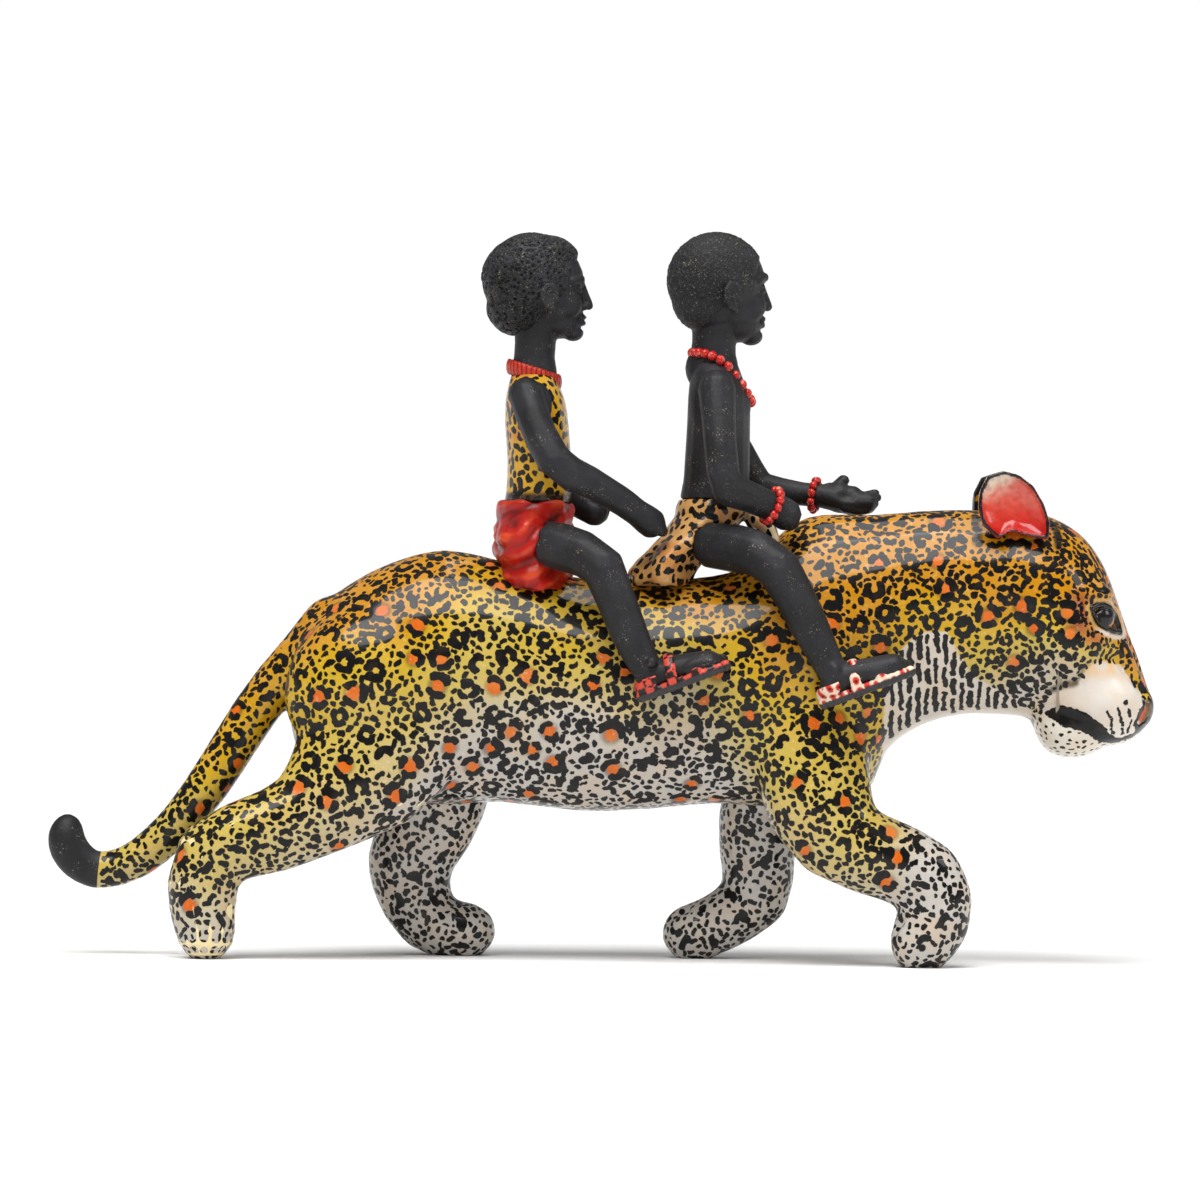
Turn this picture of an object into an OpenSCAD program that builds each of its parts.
// Hand-built ceramic figure: a walking leopard that carries two seated riders.
// +X is the way the leopard walks, +Y is its left side, +Z is up, and Z = 0 is the shelf under the paws.
// Every form is a skin over a few hand-set sections, or a chain of hulled balls.

/* [Leopard] */
// Wall of the hollow body and head
wall = 7; // [5:0.5:9]
// Bore of the vent that lets steam out of the hollow body in the kiln
vent_d = 8; // [5:0.5:10]
// Distance of each paw's centre from the middle plane
stance = 37; // [34:0.5:40]
// Height of the level joint between the legs and the body
leg_joint_z = 92; // [88:1:96]
// How deep the paws are ground flat so that the figure stands
sole_cut = 1.5; // [0.5:0.25:2.5]
// Diameter of the glazed eyeballs
eye_d = 16; // [14:0.5:18]

/* [Riders] */
// Diameter of the beads in the necklace
necklace_bead_d = 5.4; // [4:0.2:6]
// Diameter of the beads in the bracelets
bracelet_bead_d = 4.4; // [3:0.2:5]
// Thickness of the sandal soles
sole_t = 6; // [4:0.5:7]

/* [Mesh] */
// Points around each ring of a skinned form
ring_n = 18; // [16:2:36]
// Facets around each ball of the leopard's legs and tail
ball_fn = 14; // [12:2:24]
// Facets around each ball of the riders
rider_fn = 10; // [10:2:20]

/* [Hidden] */

right = -1;
left = 1;
far = 400;          // larger than the figure, for cutting blocks
vent_x = -30;       // the vent opens under the belly
vent_top_z = 120;   // a height inside the hollow
body_joint_x = 0;   // the plane where the two pinched halves of the body are luted together
glaze_ochre = [0.86, 0.62, 0.12];
glaze_cream = [0.85, 0.80, 0.72];
clay_black = [0.10, 0.10, 0.11];
glaze_red = [0.75, 0.12, 0.08];

// ---------------------------------------------------------------- tools

// One point of a Catmull-Rom curve through b and c, with t from 0 to 1
function curve(a, b, c, d, t) =
    0.5 * (2 * b + (c - a) * t + (2 * a - 5 * b + 4 * c - d) * t * t + (3 * b - a - 3 * c + d) * t * t * t);

// The rows with steps - 1 rows put in between each pair
function smooth(rows, steps) =
    let (last = len(rows) - 1)
    concat(
        [for (i = [0 : last - 1], k = [0 : steps - 1])
            curve(rows[max(i - 1, 0)], rows[i], rows[i + 1], rows[min(i + 2, last)], k / steps)],
        [rows[last]]
    );

function reversed(list) = [for (i = [len(list) - 1 : -1 : 0]) list[i]];

// A body row is [top x, top z, bottom x, bottom z, half width]: one oval across the middle plane
function oval(row) =
    let (
        mid = [(row[0] + row[2]) / 2, (row[1] + row[3]) / 2],
        up = [(row[0] - row[2]) / 2, (row[1] - row[3]) / 2]
    )
    [for (i = [0 : ring_n - 1])
        let (a = 360 * i / ring_n)
        [mid[0] + up[0] * cos(a), row[4] * sin(a), mid[1] + up[1] * cos(a)]];

// The same row, moved inwards by t
function inset(row, t) =
    let (
        mid = [(row[0] + row[2]) / 2, (row[1] + row[3]) / 2],
        up = [(row[0] - row[2]) / 2, (row[1] - row[3]) / 2],
        k = 1 - t / norm(up)
    )
    [mid[0] + up[0] * k, mid[1] + up[1] * k, mid[0] - up[0] * k, mid[1] - up[1] * k, row[4] - t];

// Closed skin over rings of equal length. A looped skin joins its last ring to its first.
module skin(rings, looped = false) {
    n = len(rings[0]);
    count = len(rings);
    spans = looped ? count : count - 1;
    sides = [for (i = [0 : spans - 1], k = [0 : n - 1])
        let (a = i * n, b = ((i + 1) % count) * n, m = (k + 1) % n)
        each [[a + k, a + m, b + m], [a + k, b + m, b + k]]];
    ends = looped ? [] : [
        reversed([for (k = [0 : n - 1]) k]),
        [for (k = [0 : n - 1]) (count - 1) * n + k]
    ];
    polyhedron([for (r = rings) each r], concat(sides, ends));
}

// A ball row is [x, y, z, rx, ry, rz]
module ball(b, fn = ball_fn) translate([b[0], b[1], b[2]]) scale([b[3], b[4], b[5]]) sphere(1, $fn = fn);

module limb(rows, fn = ball_fn) {
    for (i = [0 : len(rows) - 2]) hull() {
        ball(rows[i], fn);
        ball(rows[i + 1], fn);
    }
}

// Round limb rows [x, y, z, r] as ball rows
function round_rows(rows) = [for (r = rows) [r[0], r[1], r[2], r[3], r[3], r[3]]];

// The same rows on the other side of the figure
function mirrored(rows, side) = [for (r = rows) [for (i = [0 : len(r) - 1]) i == 1 ? r[i] * side : r[i]]];

// ---------------------------------------------------------------- leopard forms

trunk_rows = [
    [-176, 158, -176, 146, 8],
    [-172, 178, -173, 124, 24],
    [-163, 192, -165, 107, 34],
    [-145, 207, -148, 96, 43],
    [-120, 221, -122, 88, 48],
    [-90, 229.5, -90, 86, 50],
    [-58, 223.5, -58, 88, 49],
    [-25, 215.5, -25, 84.5, 48],
    [0, 212.8, 0, 83.5, 48],
    [30, 213, 30, 85.5, 48],
    [60, 215.5, 60, 88.5, 48],
    [80, 222, 82, 88, 48],
    [96, 238, 106, 86, 47],
    [112, 249, 130, 88, 45],
    [130, 251.5, 150, 98, 42],
    [150, 251.5, 158, 119, 39],
    [172, 253.5, 178, 134, 37],
    [192, 254.5, 206, 141, 37],
    [209, 254.5, 240, 139, 38]
];
body_joint_row = 8;  // the row at body_joint_x

head_rows = [
    [209, 254.5, 240, 139, 38],
    [226, 255.5, 247, 140, 42],
    [243, 253, 256, 138, 43],
    [258, 247, 265, 134, 41],
    [270, 237.5, 273, 130, 36],
    [279.5, 223, 280, 128, 30],
    [286.5, 205, 287, 128, 24],
    [292.5, 188, 293, 130, 20],
    [298.5, 173.5, 298, 133, 16],
    [303.5, 158, 303, 137, 11],
    [307, 148, 307, 141, 5]
];
head_hollow_rows = 6;  // the rows that the hollow of the head reaches

muzzle_rows = [
    [250, 158, 252, 142, 22],
    [259, 169, 260, 132, 30],
    [272, 173, 272, 125, 32],
    [284, 170, 284, 124, 30],
    [294, 164, 294, 126, 25],
    [302, 157, 301, 132, 18],
    [308, 150, 307, 138, 9]
];

jaw_rows = [
    [239, 153, 241, 135, 13],
    [246, 151, 247, 122, 22],
    [256, 150, 256, 117.5, 26],
    [267, 149, 267, 117, 25],
    [277, 147, 277, 121, 19],
    [284, 142, 284, 128, 9]
];

leg_front_right_rows = [
    [112, -24, 142, 32, 22, 38],
    [116, -29, 112, 32, 22, 32],
    [121, -33, 88, 30, 22, 27],
    [130, -35, 72, 26, 21, 24],
    [146, -36, 64, 23, 20.5, 23],
    [164, -stance, 58, 22, 20, 22],
    [180, -stance, 49, 21, 19.5, 21.5],
    [186, -stance, 38, 20, 19, 20],
    [185, -stance, 26, 20, 18.5, 19],
    [180, -stance, 17, 19.5, 18.5, 17 + sole_cut],
    [173, -stance, 14, 12, 17, 14 + sole_cut]
];

leg_front_left_rows = [
    [105, 24, 142, 30, 22, 38],
    [98, 29, 108, 26, 22, 27],
    [90, 33, 82, 24, 21, 22],
    [88, 35, 62, 21.5, 20, 20],
    [89, stance, 45, 20, 19, 18],
    [86, stance, 33, 20, 19, 16],
    [74, stance, 24, 20, 19, 15.5],
    [62, stance, 17.5, 19, 18.5, 15.5],
    [52, stance, 14.5, 17.5, 18, 14.5 + sole_cut]
];

leg_hind_right_rows = [
    [-118, -22, 150, 46, 26, 52],
    [-122, -27, 122, 48, 25, 38],
    [-135, -31, 100, 42, 24, 30],
    [-155, -34, 84, 30, 22, 25],
    [-178, -36, 73, 23, 21, 23.5],
    [-200, -stance, 66, 21, 20, 21.5],
    [-216, -stance, 57, 20, 19.5, 20],
    [-221, -stance, 42, 19.5, 19, 18],
    [-221, -stance, 28, 18.5, 18.5, 17],
    [-219, -stance, 16, 16.5, 18, 16 + sole_cut]
];

leg_hind_left_rows = [
    [-110, 22, 148, 44, 26, 50],
    [-98, 28, 112, 36, 24, 32],
    [-95, 32, 88, 31, 22, 24],
    [-100, 35, 70, 28, 21, 20],
    [-107, 36, 55, 25, 20, 18],
    [-108, stance, 42, 22.5, 19.5, 16],
    [-104, stance, 29, 20.5, 19, 15.5],
    [-96, stance, 18, 19.5, 19, 16],
    [-84, stance, 14.5, 18, 19, 14.5 + sole_cut],
    [-76, stance, 14, 17, 18.5, 14 + sole_cut]
];

tail_rows = round_rows([
    [-152, 0, 184, 18],
    [-167, 0, 170, 14.5],
    [-182, 0, 154, 13.2],
    [-194, -1, 138, 12.8],
    [-204, -3, 122, 12.5],
    [-213, -6, 107, 12.3],
    [-222, -8, 93, 12],
    [-231, -8, 81, 11.5],
    [-240, -6, 70, 11.2],
    [-250, -4, 60.5, 10.8],
    [-260, -2, 53, 10.5],
    [-270, 0, 48.5, 10.2],
    [-281, 0, 46.5, 10]
]);

tail_tip_rows = round_rows([
    [-281, 0, 46.5, 10],
    [-285, 0, 47.5, 10.3],
    [-290, 0, 50, 10.6],
    [-295, 0, 54, 10.8],
    [-298.5, 0, 59, 10.8],
    [-299.9, 0, 64, 10.6],
    [-299.5, 0, 68, 9.6],
    [-299, 0, 70, 8.6]
]);

trunk_rings = [for (r = smooth(trunk_rows, 2)) oval(r)];
module trunk() skin(trunk_rings);
module head_form() skin([for (r = smooth(head_rows, 2)) oval(r)]);
module muzzle_form() skin([for (r = smooth(muzzle_rows, 2)) oval(r)]);

// Everything below the shelf
module shelf() translate([-far, -far, -far]) cube([2 * far, 2 * far, far]);

// The block that holds one leg below its joint
module leg_block(x_low, x_high, side)
    translate([x_low, side > 0 ? 0 : -far, -10]) cube([x_high - x_low, far, leg_joint_z + 10]);

module front_leg_block(side) leg_block(body_joint_x, far, side);
module hind_leg_block(side) leg_block(-far, body_joint_x, side);

module leg_of(rows, side) difference() {
    intersection() {
        limb(rows);
        if (rows[0][0] > body_joint_x) front_leg_block(side);
        else hind_leg_block(side);
    }
    trunk();
    shelf();
}

// ---------------------------------------------------------------- leopard pieces

module rear_cavity() {
    inner = [for (i = [2 : body_joint_row]) inset(trunk_rows[i], wall)];
    skin([for (r = smooth(concat(inner, [inset(trunk_rows[body_joint_row + 1], wall)]), 2)) oval(r)]);
}

module front_cavity() {
    inner = [for (i = [body_joint_row - 1 : len(trunk_rows) - 1]) inset(trunk_rows[i], wall)];
    mouth = inset(head_rows[1], wall);
    skin([for (r = smooth(concat(inner, [mouth]), 2)) oval(r)]);
}

// Upper part of two legs, left on the body above the level joint
module leg_roots(a, b) intersection() {
    union() {
        limb(a);
        limb(b);
    }
    translate([-far, -far, leg_joint_z]) cube([2 * far, 2 * far, far]);
}

module body_rear() color(glaze_ochre) difference() {
    union() {
        skin([for (i = [0 : 2 * body_joint_row]) trunk_rings[i]]);
        leg_roots(leg_hind_right_rows, leg_hind_left_rows);
    }
    rear_cavity();
    translate([body_joint_x, -far, -far]) cube([far, 2 * far, 2 * far]);
    translate([vent_x, 0, 0]) cylinder(d = vent_d, h = vent_top_z, $fn = 32);
}

module body_front() color(glaze_ochre) difference() {
    union() {
        skin([for (i = [2 * body_joint_row : len(trunk_rings) - 1]) trunk_rings[i]]);
        leg_roots(leg_front_right_rows, leg_front_left_rows);
    }
    front_cavity();
}

module head() color(glaze_ochre) {
    outer = [for (r = smooth(head_rows, 2)) oval(r)];
    inner = [for (i = [0 : head_hollow_rows - 1]) inset(head_rows[i], wall)];
    skin(concat(reversed([for (r = smooth(inner, 2)) oval(r)]), outer));
}

module muzzle() color(glaze_cream) difference() {
    muzzle_form();
    head_form();
}

module lower_jaw() color(glaze_cream) difference() {
    skin([for (r = smooth(jaw_rows, 2)) oval(r)]);
    muzzle_form();
    head_form();
    trunk();
}

module nose() color(clay_black) difference() {
    limb([
        [302, -7, 155, 5, 4, 4],
        [305.5, -4, 152, 4, 4, 5],
        [306.5, 0, 149.5, 4, 4, 6],
        [305.5, 4, 152, 4, 4, 5],
        [302, 7, 155, 5, 4, 4]
    ], rider_fn);
    muzzle_form();
    head_form();
}

eye_at = [276.5, 24.5, 195.5];
module eye(side) color(clay_black) difference() {
    translate([eye_at[0], side * eye_at[1], eye_at[2]]) sphere(d = eye_d, $fn = 32);
    head_form();
}

// An ear is a leaf-shaped bowl that opens sideways. Its outline is [x, z] from the middle of the ear,
// and its rows are [share of the outline, y] from the back of the bowl to its lip and in again.
ear_outline = [
    [20, -17.5], [20.5, -8], [17, 3], [11, 13], [3, 19], [-6, 21.5],
    [-15, 18.5], [-19.5, 9], [-20, -1], [-17, -10], [-9, -17.5], [-1, -13], [8.5, -16]
];
ear_rows = [
    [0.2, 0],
    [0.72, 1.5],
    [0.96, 6],
    [1, 10],
    [0.93, 11.5],
    [0.82, 8.5],
    [0.5, 5.5],
    [0.15, 5]
];
ear_at = [226.5, 25, 254];
ear_lean = 8;
module ear(side) color(glaze_red) difference() {
    translate([ear_at[0], side * ear_at[1], ear_at[2]])
        rotate([side * ear_lean, 0, 0])
            mirror([0, side > 0 ? 0 : 1, 0])
                skin([for (r = ear_rows) [for (p = ear_outline) [r[0] * p[0], r[1], r[0] * p[1]]]]);
    head_form();
    trunk();
}

// Everything behind the slanted joint between the tail and its black tip
tip_joint_x = -278;
tip_joint_tilt = -6;
module tip_block() translate([tip_joint_x, 0, 0]) rotate([0, tip_joint_tilt, 0])
    translate([-far, -far, -far]) cube([far, 2 * far, 2 * far]);

module tail() color(glaze_ochre) difference() {
    limb(tail_rows);
    trunk();
    limb(leg_hind_right_rows);
    tip_block();
}

module tail_tip() color(clay_black) intersection() {
    limb(tail_tip_rows);
    tip_block();
}

// ---------------------------------------------------------------- rider forms

rider_ring_n = 2 * rider_fn - 2;    // points around the torsos and the clothes

// Ovals across Z: rows of [x, y, z, half depth, half width]
function slice(row) = [for (i = [0 : rider_ring_n - 1])
    let (a = -360 * i / rider_ring_n)
    [row[0] + row[3] * cos(a), row[1] + row[4] * sin(a), row[2]]];
module stack(rows) skin([for (r = smooth(rows, 2)) slice(r)]);

// Skull, jaw, nose and neck of a head whose skull is centred on the origin
skull = [0, 0, 0, 25, 22, 27];
jaw = [9, 0, -17, 15, 14, 14];
neck_len = 48;
neck_r = 11.5;
module skull_form() {
    hull() {
        ball(skull, rider_fn);
        ball(jaw, rider_fn);
    }
    limb([
        [23, 0, 2, 3, 2.5, 3],
        [26, 0, -6, 3, 3.5, 3],
        [26, 0, -8, 3, 5, 2.5]
    ], rider_fn);
    limb([
        [23, 0, -15, 3, 6, 2.5],
        [22.5, 0, -18.5, 3, 5.5, 2.5]
    ], rider_fn);
    limb([
        [-3, 0, -14, neck_r + 2, neck_r + 1, 10],
        [-3, 0, -30, neck_r, neck_r, 6],
        [-5, 0, -neck_len, neck_r + 1, neck_r + 1, 6]
    ], rider_fn);
}

module placed_head(at, turn) translate(at) rotate([0, 0, turn]) children();

rear_head_at = [-36, 0, 376];
rear_head_turn = 0;
front_head_at = [63, 0, 378];
front_head_turn = 18;
front_head_size = 1.1;

module rear_head_form() placed_head(rear_head_at, rear_head_turn) skull_form();
module front_head_form() placed_head(front_head_at, front_head_turn) scale(front_head_size) skull_form();

afro = [-5, 0, 5, 30.5, 28, 29];
hair_line_x = 12;
hair_line_tilt = 20;
nape_z = -18;
module afro_form() placed_head(rear_head_at, rear_head_turn) difference() {
    hull() ball(afro, ball_fn);
    translate([hair_line_x, 0, 0]) rotate([0, hair_line_tilt, 0]) translate([0, -far, -far])
        cube([far, 2 * far, 2 * far]);
    translate([-far, -far, nape_z - far]) cube([2 * far, 2 * far, far]);
}

rear_torso_rows = [
    [-39, 0, 250, 18.5, 25],
    [-37.5, 0, 262, 18, 24],
    [-37.5, 0, 280, 17.5, 25],
    [-39, 0, 298, 17.5, 28],
    [-40, 0, 312, 16.5, 30],
    [-41, 0, 321, 14, 26],
    [-41, 0, 327, 12.5, 15]
];
front_torso_rows = [
    [59.5, 0, 252, 19, 25],
    [61.5, 0, 266, 18.5, 23],
    [62, 0, 282, 18, 25],
    [62.5, 0, 300, 17.5, 28],
    [62.5, 0, 316, 17, 30],
    [61, 0, 327, 14.5, 26],
    [60, 0, 335, 12.5, 17]
];

shorts_rows = [
    [-40, 0, 207, 21, 38],
    [-40, 0, 218, 22, 37],
    [-40, 0, 232, 22.5, 35],
    [-40, 0, 244, 22, 31],
    [-39, 0, 256, 21, 27]
];
// The cloth reaches round the root of each thigh
shorts_cuff = [
    [-44, -16, 236, 18, 16, 18],
    [-44, -29, 234, 16.5, 13, 16]
];
loincloth_rows = [
    [31, 0, 211, 17, 35],
    [32, 0, 218, 18, 36],
    [41, 0, 229, 17.5, 35],
    [51, 0, 240, 18, 31],
    [59.5, 0, 250, 21, 28],
    [61.5, 0, 259, 21, 26]
];
loincloth_flap = [
    [81, 0, 251, 3.5, 14, 8],
    [91, 0, 243, 3.2, 15, 9],
    [97, 0, 232, 3, 14, 6]
];

// Limbs of the right side; the left ones are mirrored or set out below
rear_leg_rows = [
    [-38, -26, 233, 13, 12, 13],
    [-25, -36, 231, 13, 13, 13],
    [-12, -45, 227, 12.5, 12.5, 12.5],
    [-1, -51, 219.5, 12, 12, 12],
    [6, -54, 203, 11, 11, 12],
    [12, -57, 188, 10.5, 10.5, 12],
    [18, -58, 175, 9.5, 9.5, 10],
    [24, -59.5, 164, 8.5, 9, 8.5],
    [29, -60.5, 160, 9, 9.5, 8],
    [42, -61, 164, 8.5, 10.5, 8],
    [58, -61.6, 169, 7, 11.5, 5.5]
];
front_leg_rows = [
    [60, -27, 233, 12.5, 12, 12.5],
    [72, -36, 231.5, 13, 13, 13],
    [84, -45, 228.5, 12.5, 12.5, 12.5],
    [96, -51, 220, 12.5, 12, 12],
    [105, -54, 205, 11, 11, 12],
    [112, -56, 191.5, 10.5, 10.5, 12],
    [119, -57, 178, 9.5, 9.5, 10],
    [125, -57.5, 166, 8.5, 9, 8.5],
    [131, -58, 160, 9, 9.5, 8],
    [144, -58.5, 163, 8.5, 10.5, 8],
    [160, -59, 168.5, 7, 11.5, 5.5]
];

// A sole is [heel x, heel z, toe x, toe z, y]
rear_sole = [29.5, 148.5, 59, 160, -61.6];
front_sole = [130.5, 146, 161, 158, -58];
heel_r = 10;
toe_r = 13;

rear_arm_right_rows = round_rows([
    [-45, -28, 315, 10],
    [-41, -35, 303, 9.5],
    [-36, -40, 291, 9.5],
    [-29, -44, 279, 9.5],
    [-19, -45, 271, 9.5],
    [-8, -43, 266.5, 8.5],
    [9, -37, 256.5, 8],
    [18, -33, 250, 7.5],
    [25, -30, 245, 8.5]
]);
rear_arm_left_rows = round_rows([
    [-44, 28, 315, 10],
    [-41, 36, 300, 9.5],
    [-38, 41, 284, 9.5],
    [-33, 42, 270, 9.5],
    [-24, 37, 262, 9],
    [-14, 30, 256, 8.5],
    [-6, 25, 252, 8.5]
]);
front_arm_right_rows = round_rows([
    [61, -28, 320, 10.5],
    [62, -34, 305, 9.5],
    [63, -39, 290, 9],
    [65, -42, 272, 9],
    [68, -42, 264, 9.5],
    [79, -40, 260, 8.5],
    [89, -36, 256, 8],
    [96, -33, 252.5, 8.5],
    [100, -31, 250.5, 9]
]);
front_arm_left_rows = round_rows([
    [61, 28, 320, 10.5],
    [65, 36, 305, 9.5],
    [73, 42, 289, 9],
    [81, 43, 275, 9],
    [87, 42, 266.5, 8.5],
    [98, 39, 264.5, 7.5],
    [110, 36, 263, 6.5],
    [121, 34, 262, 6.5]
]);

// ---------------------------------------------------------------- rider pieces

module rear_rider_head() color(clay_black) difference() {
    rear_head_form();
    stack(rear_torso_rows);
}

module rear_rider_hair() color(clay_black) difference() {
    afro_form();
    rear_head_form();
    rear_ear_form(right);
    rear_ear_form(left);
}

// An ear on the right is [x, how far out, z, radii] from the middle of the skull
rear_ear = [4, 24.5, -5, 5, 4.5, 7.5];
front_ear = [-2, 22, -4, 5, 3.5, 7.5];
module ear_ball(row, side) hull() ball([for (i = [0 : 5]) i == 1 ? side * row[i] : row[i]], rider_fn);
module rear_ear_form(side) placed_head(rear_head_at, rear_head_turn) ear_ball(rear_ear, side);

module rear_rider_ear(side) color(clay_black) difference() {
    rear_ear_form(side);
    rear_head_form();
}

module front_rider_ear(side) color(clay_black) difference() {
    placed_head(front_head_at, front_head_turn) scale(front_head_size) ear_ball(front_ear, side);
    front_head_form();
}

// The collar slopes down to the front
collar_at = [-41, 0, 327.5];
collar_tilt = 16;
collar_r = 15;
collar_h = 9;
module rear_rider_collar() color(glaze_red) difference() {
    translate(collar_at) rotate([0, collar_tilt, 0])
        cylinder(r1 = collar_r + 1, r2 = collar_r - 1, h = collar_h, center = true, $fn = 24);
    rear_head_form();
    stack(rear_torso_rows);
}

module rear_rider_torso() color(glaze_ochre) difference() {
    stack(rear_torso_rows);
    stack(shorts_rows);
}

module shorts_form() {
    stack(shorts_rows);
    limb(shorts_cuff, rider_fn);
    limb(mirrored(shorts_cuff, -1), rider_fn);
}

module rear_rider_shorts() color(glaze_red) difference() {
    shorts_form();
    trunk();
}

module rear_rider_leg(side) color(clay_black) difference() {
    limb(mirrored(rear_leg_rows, -side), rider_fn);
    trunk();
    shorts_form();
    below_foot(rear_sole, side);
}

module rear_rider_arm(rows) color(clay_black) difference() {
    limb(rows, rider_fn);
    stack(rear_torso_rows);
    shorts_form();
    trunk();
    limb(rear_leg_rows, rider_fn);
    limb(mirrored(rear_leg_rows, -1), rider_fn);
    limb(front_leg_rows, rider_fn);
    front_skirt();
}

// The frame of a sandal: origin under the heel, +X along the sole to the toe
module on_sole(row, side)
    translate([row[0], -side * row[4], row[1]])
        rotate([0, -atan2(row[3] - row[1], row[2] - row[0]), 0])
            children();

function sole_len(row) = norm([row[2] - row[0], row[3] - row[1]]);

// A flat sole with a round heel and a broad toe
module sole_form(row, side) on_sole(row, side) hull() {
    cylinder(r = heel_r, h = sole_t, $fn = 20);
    translate([sole_len(row), 0, 0]) cylinder(r = toe_r, h = sole_t, $fn = 20);
}

// Everything below the top of the sole
module below_foot(row, side) on_sole(row, side)
    translate([-far, -far, sole_t - far]) cube([2 * far, 2 * far, far]);

// A sole with two bands over the foot
module sandal(row, leg_rows, side) difference() {
    union() {
        sole_form(row, side);
        for (k = [0.3, 0.78]) strap(row, side, k);
    }
    limb(mirrored(leg_rows, -side), rider_fn);
}

strap_w = 9;
strap_r = 13.6;
module strap(row, side, k) on_sole(row, side)
    translate([sole_len(row) * k - strap_w / 2, 0, sole_t / 2])
        rotate([0, 90, 0]) intersection() {
            cylinder(r = strap_r, h = strap_w, $fn = 24);
            translate([-far, -far, 0]) cube([far, 2 * far, strap_w]);
        }

module front_skirt() {
    stack(loincloth_rows);
    limb(loincloth_flap, rider_fn);
}

module front_rider_head() color(clay_black) difference() {
    front_head_form();
    stack(front_torso_rows);
}

module front_rider_torso() color(clay_black) difference() {
    stack(front_torso_rows);
    front_skirt();
}

module front_rider_loincloth() color(glaze_cream) difference() {
    front_skirt();
    trunk();
    shorts_form();
    limb(rear_leg_rows, rider_fn);
    limb(mirrored(rear_leg_rows, -1), rider_fn);
    limb(front_leg_rows, rider_fn);
    limb(mirrored(front_leg_rows, -1), rider_fn);
}

module front_rider_leg(side) color(clay_black) difference() {
    limb(mirrored(front_leg_rows, -side), rider_fn);
    trunk();
    head_form();
    stack(front_torso_rows);
    translate([-far, side > 0 ? -far : 0, -far]) cube([2 * far, far, 2 * far]);
    below_foot(front_sole, side);
}

module open_hand() limb([
    [122, 34, 262, 7, 6.5, 6.5],
    [132, 33, 260, 7, 8.5, 7],
    [141, 32.5, 258, 6, 9, 7],
    [149, 32, 258.5, 4, 8.5, 6]
], rider_fn);

module thumb() limb([
    [127, 38, 264, 4, 4, 4],
    [132, 40, 268, 3.2, 3.2, 3.5],
    [135, 40, 271, 2.8, 2.8, 2.8]
], rider_fn);

module front_rider_arm_right() color(clay_black) difference() {
    limb(front_arm_right_rows, rider_fn);
    stack(front_torso_rows);
    front_skirt();
    limb(front_leg_rows, rider_fn);
    trunk();
}

module front_rider_arm_left() color(clay_black) difference() {
    union() {
        limb(front_arm_left_rows, rider_fn);
        open_hand();
        thumb();
    }
    stack(front_torso_rows);
    front_skirt();
    limb(mirrored(front_leg_rows, -1), rider_fn);
    trunk();
}

// A closed string of touching beads: one wide ring at each bead and one narrow ring between two beads.
// The points run round the string, two to a bead, and up is the axis that the string goes round.
bead_sides = 6;
bead_waist = 0.45;
module bead_string(points, d, up = [0, 0, 1]) {
    n = len(points);
    skin([for (i = [0 : n - 1])
        let (
            ahead = points[(i + 1) % n] - points[(i + n - 1) % n],
            side = cross(ahead, up) / norm(cross(ahead, up)),
            lift = cross(side, ahead) / norm(cross(side, ahead)),
            r = i % 2 == 0 ? d / 2 : d / 2 * bead_waist
        )
        [for (k = [0 : bead_sides - 1])
            let (a = 360 * k / bead_sides)
            points[i] + r * (side * cos(a) + lift * sin(a))]], looped = true);
}

// Twice the number of beads that fit round a string
function bead_steps(around, d) = 2 * floor(around / d);

// The necklace hangs low in front and climbs over the shoulders to the nape
necklace_at = [64, 0, 340.5];
necklace_r = [16.3, 18.5];
necklace_drop = 27;
necklace_around = 128;
module front_rider_necklace() color(glaze_red) difference() {
    n = bead_steps(necklace_around, necklace_bead_d);
    bead_string([for (i = [0 : n - 1])
        let (a = 360 * i / n)
        necklace_at + [necklace_r[0] * cos(a), necklace_r[1] * sin(a),
            -necklace_drop * pow((1 + cos(a)) / 2, 2.4)]], necklace_bead_d);
    front_head_form();
    stack(front_torso_rows);
    limb(front_arm_right_rows, rider_fn);
    limb(front_arm_left_rows, rider_fn);
}

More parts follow.
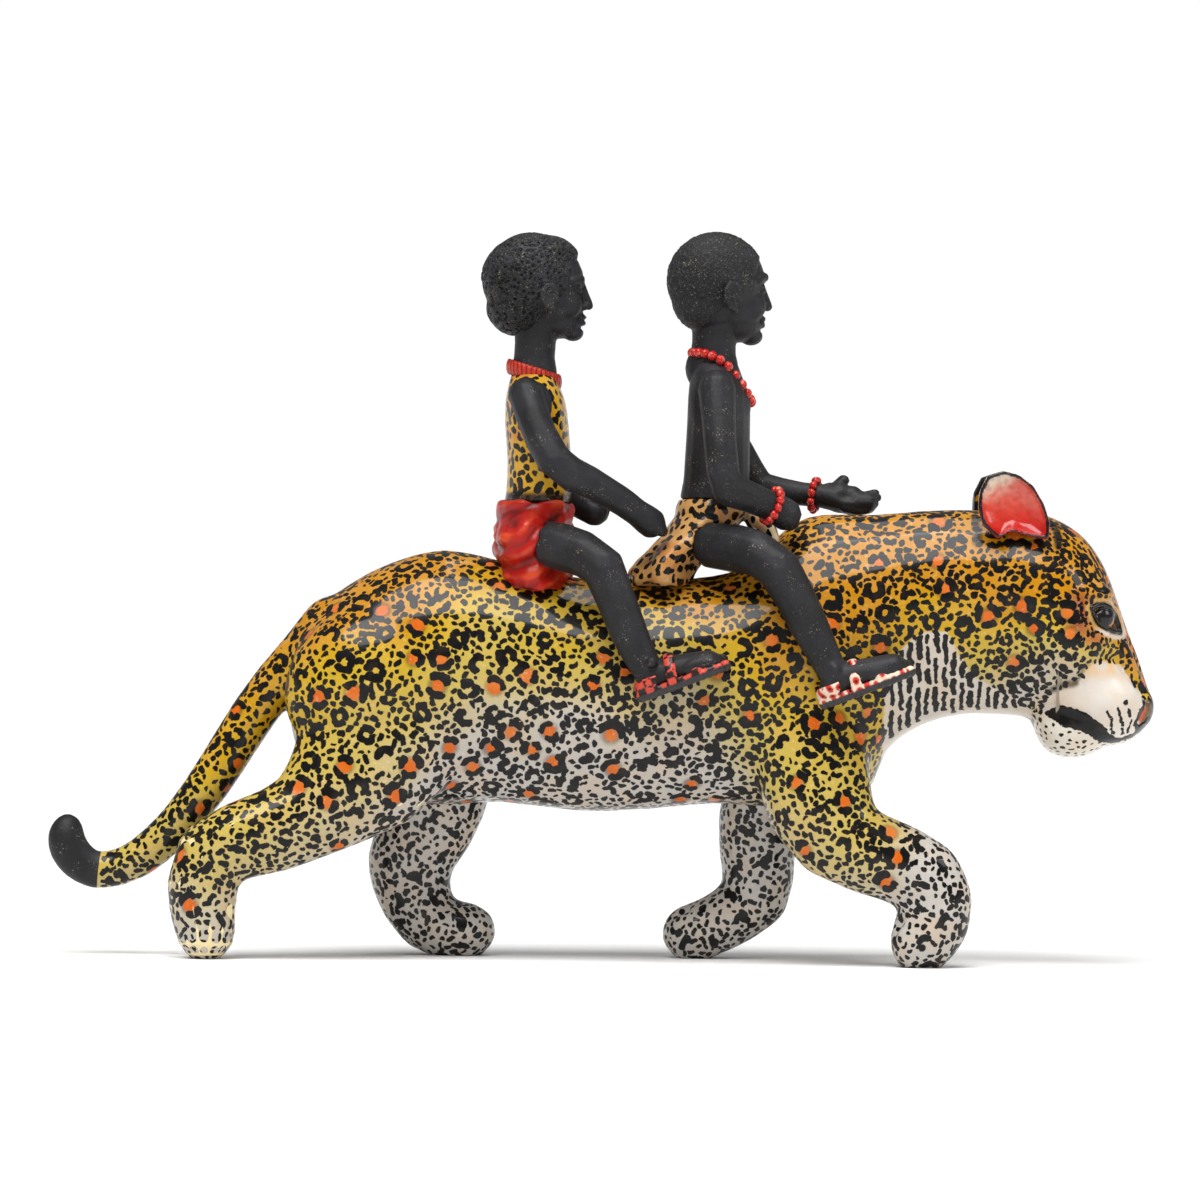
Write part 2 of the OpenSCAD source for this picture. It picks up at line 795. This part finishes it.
module front_rider_bracelet(at, r, turn, arm_rows) color(glaze_red) difference() {
    n = bead_steps(360 * r / 57.3, bracelet_bead_d);
    translate(at) rotate(turn) bead_string([for (i = [0 : n - 1])
        let (a = 360 * i / n)
        [r * cos(a), r * sin(a), 0]], bracelet_bead_d);
    limb(arm_rows, rider_fn);
    front_skirt();
    limb(front_leg_rows, rider_fn);
}

body_rear();
body_front();
head();
muzzle();
lower_jaw();
nose();
eye(right);  // eye_right
eye(left);  // eye_left
ear(right);  // ear_right
ear(left);  // ear_left
color(glaze_ochre) leg_of(leg_front_right_rows, right);  // leg_front_right
color(glaze_ochre) leg_of(leg_front_left_rows, left);  // leg_front_left
color(glaze_ochre) leg_of(leg_hind_right_rows, right);  // leg_hind_right
color(glaze_ochre) leg_of(leg_hind_left_rows, left);  // leg_hind_left
tail();
tail_tip();
rear_rider_head();
rear_rider_hair();
rear_rider_ear(right);  // rear_rider_ear_right
rear_rider_ear(left);  // rear_rider_ear_left
rear_rider_collar();
rear_rider_torso();
rear_rider_arm(rear_arm_right_rows);  // rear_rider_arm_right
rear_rider_arm(rear_arm_left_rows);  // rear_rider_arm_left
rear_rider_shorts();
rear_rider_leg(right);  // rear_rider_leg_right
rear_rider_leg(left);  // rear_rider_leg_left
color(glaze_red) sandal(rear_sole, rear_leg_rows, right);  // rear_rider_sandal_right
color(glaze_red) sandal(rear_sole, rear_leg_rows, left);  // rear_rider_sandal_left
front_rider_head();
front_rider_ear(right);  // front_rider_ear_right
front_rider_ear(left);  // front_rider_ear_left
front_rider_necklace();
front_rider_torso();
front_rider_arm_right();
front_rider_arm_left();
front_rider_bracelet([92, -35, 255], 9.4, [0, 111, 25], front_arm_right_rows);  // front_rider_bracelet_right
front_rider_bracelet([118, 34.6, 262.3], 8.4, [0, 96, -16], front_arm_left_rows);  // front_rider_bracelet_left
front_rider_loincloth();
front_rider_leg(right);  // front_rider_leg_right
front_rider_leg(left);  // front_rider_leg_left
color(glaze_cream) sandal(front_sole, front_leg_rows, right);  // front_rider_sandal_right
color(glaze_cream) sandal(front_sole, front_leg_rows, left);  // front_rider_sandal_left
